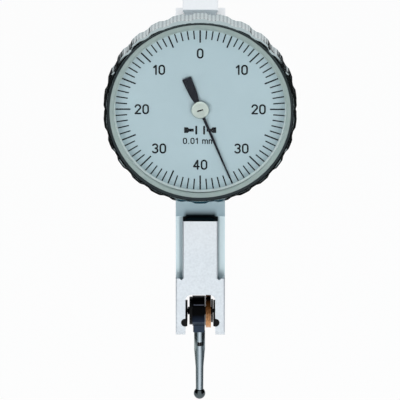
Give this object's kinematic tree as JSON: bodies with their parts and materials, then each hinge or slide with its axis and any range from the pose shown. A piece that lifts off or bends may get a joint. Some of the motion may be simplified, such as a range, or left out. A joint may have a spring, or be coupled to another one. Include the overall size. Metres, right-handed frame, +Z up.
{
  "type": "dial test indicator",
  "caption": "Lever-type dial test indicator: slim dovetailed frame, round case with a turning bezel and dial, and a ball stylus that drives the pointer through gears.",
  "frame": {"origin": "middle of the flat top face of the top dovetail", "axes": "+Z up along the frame, away from the stylus; the dial faces -Y; +X to the right of someone reading the dial"},
  "size_m": [0.0324, 0.0157, 0.0714],
  "materials": {
    "satin_chrome": "satin chrome plate, near white with a blue cast",
    "bright_chrome": "bright polished chrome plate",
    "dial_silver": "silvery blue-grey satin paint with dark marks",
    "clear_crystal": "clear moulded acrylic with a polished bevel",
    "hand_ink": "blue-black enamel",
    "hub_steel": "turned and polished, slightly warm",
    "black_steel": "black oxide",
    "slate_steel": "blue-black oxide, slightly glossy",
    "lever_bronze": "bare bronze, fine turned",
    "plate_brass": "brushed brass",
    "gear_brass": "cut and polished brass",
    "arbor_steel": "polished hardened steel",
    "stylus_steel": "ground and polished steel",
    "ball_carbide": "polished hard metal",
    "spring_steel": "bright spring steel",
    "screw_steel": "turned steel",
    "jewel": "polished synthetic ruby"
  },
  "bodies": {
    "frame": {"body_frame": "satin_chrome", "rear_cover": "satin_chrome", "cover_screw_upper_left": "screw_steel", "cover_screw_upper_right": "screw_steel", "cover_screw_lower_left": "screw_steel", "cover_screw_lower_right": "screw_steel", "case_cup": "satin_chrome", "case_screw_upper_left": "screw_steel", "case_screw_upper_right": "screw_steel", "case_screw_lower_left": "screw_steel", "case_screw_lower_right": "screw_steel", "bezel_friction_ring": "spring_steel", "pointer_cock": "plate_brass", "cock_screw_left": "screw_steel", "cock_screw_right": "screw_steel", "movement_plate": "plate_brass", "plate_pillar_left": "plate_brass", "plate_pillar_right": "plate_brass", "plate_screw_left": "screw_steel", "plate_screw_right": "screw_steel", "pointer_bearing_rear": "jewel", "pointer_bearing_front": "jewel", "crown_bearing_left": "screw_steel", "crown_bearing_right": "screw_steel", "sector_bearing_left": "screw_steel", "sector_bearing_right": "screw_steel", "lever_bearing_left": "screw_steel", "lever_bearing_right": "screw_steel", "fork_plate_left": "black_steel", "fork_plate_right": "black_steel", "hairspring": "spring_steel", "hairspring_stud": "plate_brass"},
    "bezel": {"bezel_ring": "bright_chrome", "dial_plate": "dial_silver", "crystal": "clear_crystal"},
    "contact_lever": {"lever_axle": "black_steel", "motion_lever": "lever_bronze", "motion_pin": "spring_steel", "clutch_washer": "spring_steel", "clutch_nut": "black_steel"},
    "stylus": {"stylus_holder": "slate_steel", "stylus_shank": "stylus_steel", "stylus_ball": "ball_carbide"},
    "sector_lever": {"sector_gear": "gear_brass", "sector_arbor": "arbor_steel"},
    "crown": {"crown_arbor": "arbor_steel", "crown_wheel": "gear_brass"},
    "pointer": {"pointer_arbor": "arbor_steel", "hairspring_collet": "plate_brass", "pointer_hand": "hand_ink", "pointer_hub": "hub_steel"}
  },
  "joints": [
    {"name": "pointer_turn", "type": "hinge", "parent": "frame", "child": "pointer", "pos_m": [0, 0, -0.016], "axis": [0, 1, 0], "range_deg": [0, 382.88]},
    {"name": "lever_swing", "type": "hinge", "parent": "frame", "child": "contact_lever", "pos_m": [0, 0, -0.0551], "axis": [1, 0, 0], "range_deg": [0, 3.25], "stiffness_Nm_per_rad": 0.0132, "springref_deg": -13.01},
    {"name": "sector_swing", "type": "hinge", "parent": "frame", "child": "sector_lever", "pos_m": [0, 0, -0.03192], "axis": [1, 0, 0], "range_deg": [-6.39, 0]},
    {"name": "crown_turn", "type": "hinge", "parent": "frame", "child": "crown", "pos_m": [0, -0.0016, -0.016], "axis": [1, 0, 0], "range_deg": [0, 95.73]},
    {"name": "stylus_set", "type": "hinge", "parent": "contact_lever", "child": "stylus", "pos_m": [0, 0, -0.0551], "axis": [1, 0, 0], "range_deg": [-110, 110]},
    {"name": "bezel_turn", "type": "hinge", "parent": "frame", "child": "bezel", "pos_m": [0, 0, -0.016], "axis": [0, 1, 0], "continuous": true}
  ],
  "couplings": [
    {"joint": "lever_swing", "follows": "pointer_turn", "ratio": 0.0084883},
    {"joint": "sector_swing", "follows": "pointer_turn", "ratio": -0.016667},
    {"joint": "crown_turn", "follows": "pointer_turn", "ratio": 0.25}
  ]
}
